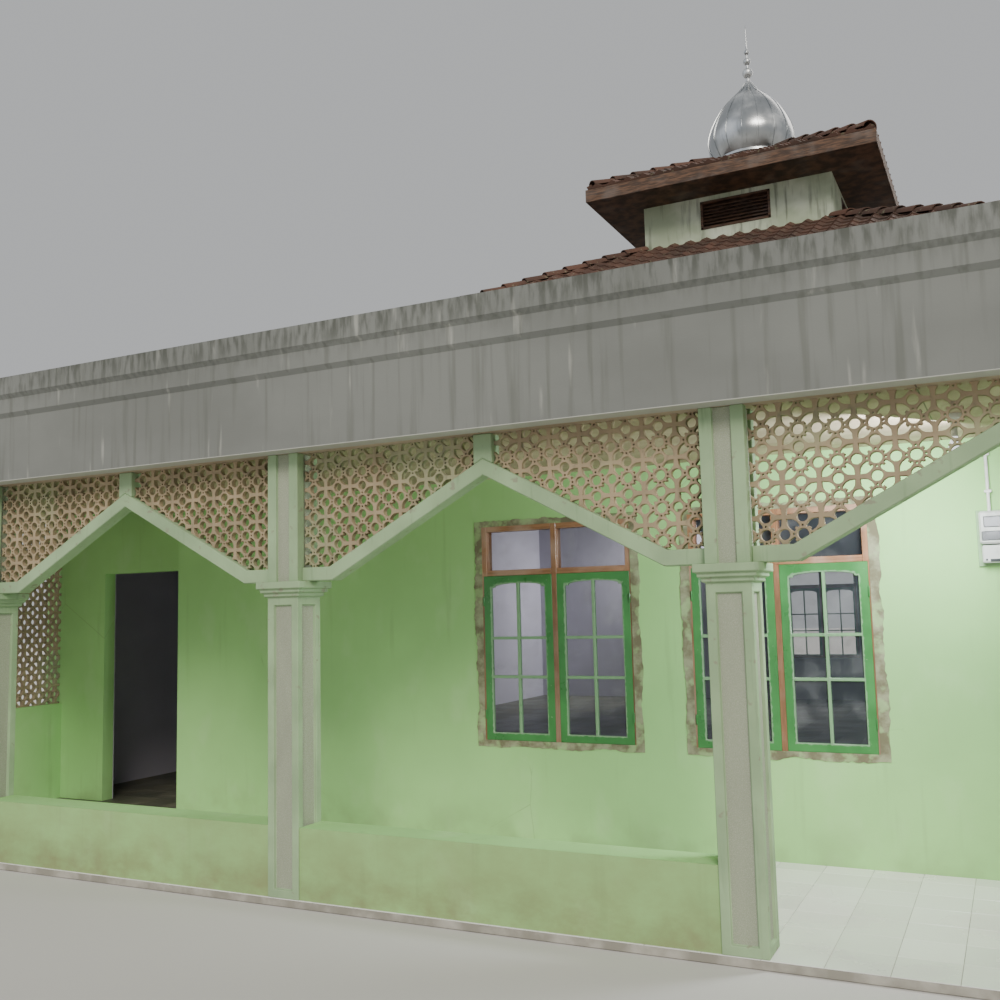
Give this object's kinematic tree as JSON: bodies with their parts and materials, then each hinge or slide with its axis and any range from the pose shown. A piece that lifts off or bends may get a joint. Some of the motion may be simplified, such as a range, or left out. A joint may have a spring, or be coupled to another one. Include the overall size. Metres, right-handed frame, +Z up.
{
  "type": "mosque building",
  "caption": "Square prayer hall with a hipped roof, raised tier and onion dome, fronted by an arcaded verandah with perforated screens above its pointed openings.",
  "frame": {"origin": "middle of the bounding box at ground level, under the hall just behind the verandah", "axes": "+Z up, the arcaded verandah front faces -Y, +X is to the right seen from the front"},
  "size_m": [13.24, 14.93, 9.64],
  "materials": {
    "green_plaster": "painted plaster",
    "column_plaster": "painted plaster with pebbled strips",
    "cement_screen": "cast cement",
    "cement_fascia": "weathered cement paint",
    "floor_tile": "glossy tile",
    "frame_wood": "varnished",
    "leaf_paint": "gloss paint",
    "window_glass": "clear",
    "roof_tile": "weathered clay tile",
    "tier_plaster": "painted plaster",
    "dome_metal": "dull sheet metal",
    "meter_plastic": "matte",
    "lamp_glass": "opal"
  },
  "bodies": {
    "root": {"floor_slab": "floor_tile", "column_1": "column_plaster", "column_2": "column_plaster", "column_3": "column_plaster", "column_4": "column_plaster", "column_5": "column_plaster", "column_6": "column_plaster", "seat_wall_left": "green_plaster", "seat_wall_middle": "green_plaster", "arch_band_1": "column_plaster", "arch_band_2": "column_plaster", "arch_band_3": "column_plaster", "arch_band_4": "column_plaster", "arch_band_5": "column_plaster", "arch_screen_1": "cement_screen", "arch_screen_2": "cement_screen", "arch_screen_3": "cement_screen", "arch_screen_4": "cement_screen", "arch_screen_5": "cement_screen", "verandah_roof_slab": "cement_fascia", "parapet": "cement_fascia", "front_wall": "green_plaster", "end_wall_left": "green_plaster", "end_wall_right": "green_plaster", "end_screen_left": "cement_screen", "end_screen_right": "cement_screen", "doorway_pier_left": "green_plaster", "doorway_pier_right": "green_plaster", "doorway_lintel_left": "green_plaster", "doorway_lintel_right": "green_plaster", "side_wall_left": "green_plaster", "side_wall_right": "green_plaster", "rear_wall": "green_plaster", "front_window_1_frame": "frame_wood", "front_window_1_leaf_left": "leaf_paint", "front_window_1_leaf_right": "leaf_paint", "front_window_1_glass": "window_glass", "front_window_2_frame": "frame_wood", "front_window_2_leaf_left": "leaf_paint", "front_window_2_leaf_right": "leaf_paint", "front_window_2_glass": "window_glass", "side_window_left_1": "frame_wood", "side_window_left_2": "frame_wood", "side_window_right_1": "frame_wood", "side_window_right_2": "frame_wood", "side_glass_left": "window_glass", "side_glass_right": "window_glass", "rear_window_1": "frame_wood", "rear_window_2": "frame_wood", "rear_glass": "window_glass", "roof_slope_front": "roof_tile", "roof_slope_right": "roof_tile", "roof_slope_rear": "roof_tile", "roof_slope_left": "roof_tile", "tier_walls": "tier_plaster", "tier_roof": "roof_tile", "dome": "dome_metal", "spire": "dome_metal", "meter_box": "meter_plastic", "lamp": "lamp_glass"}
  },
  "joints": []
}
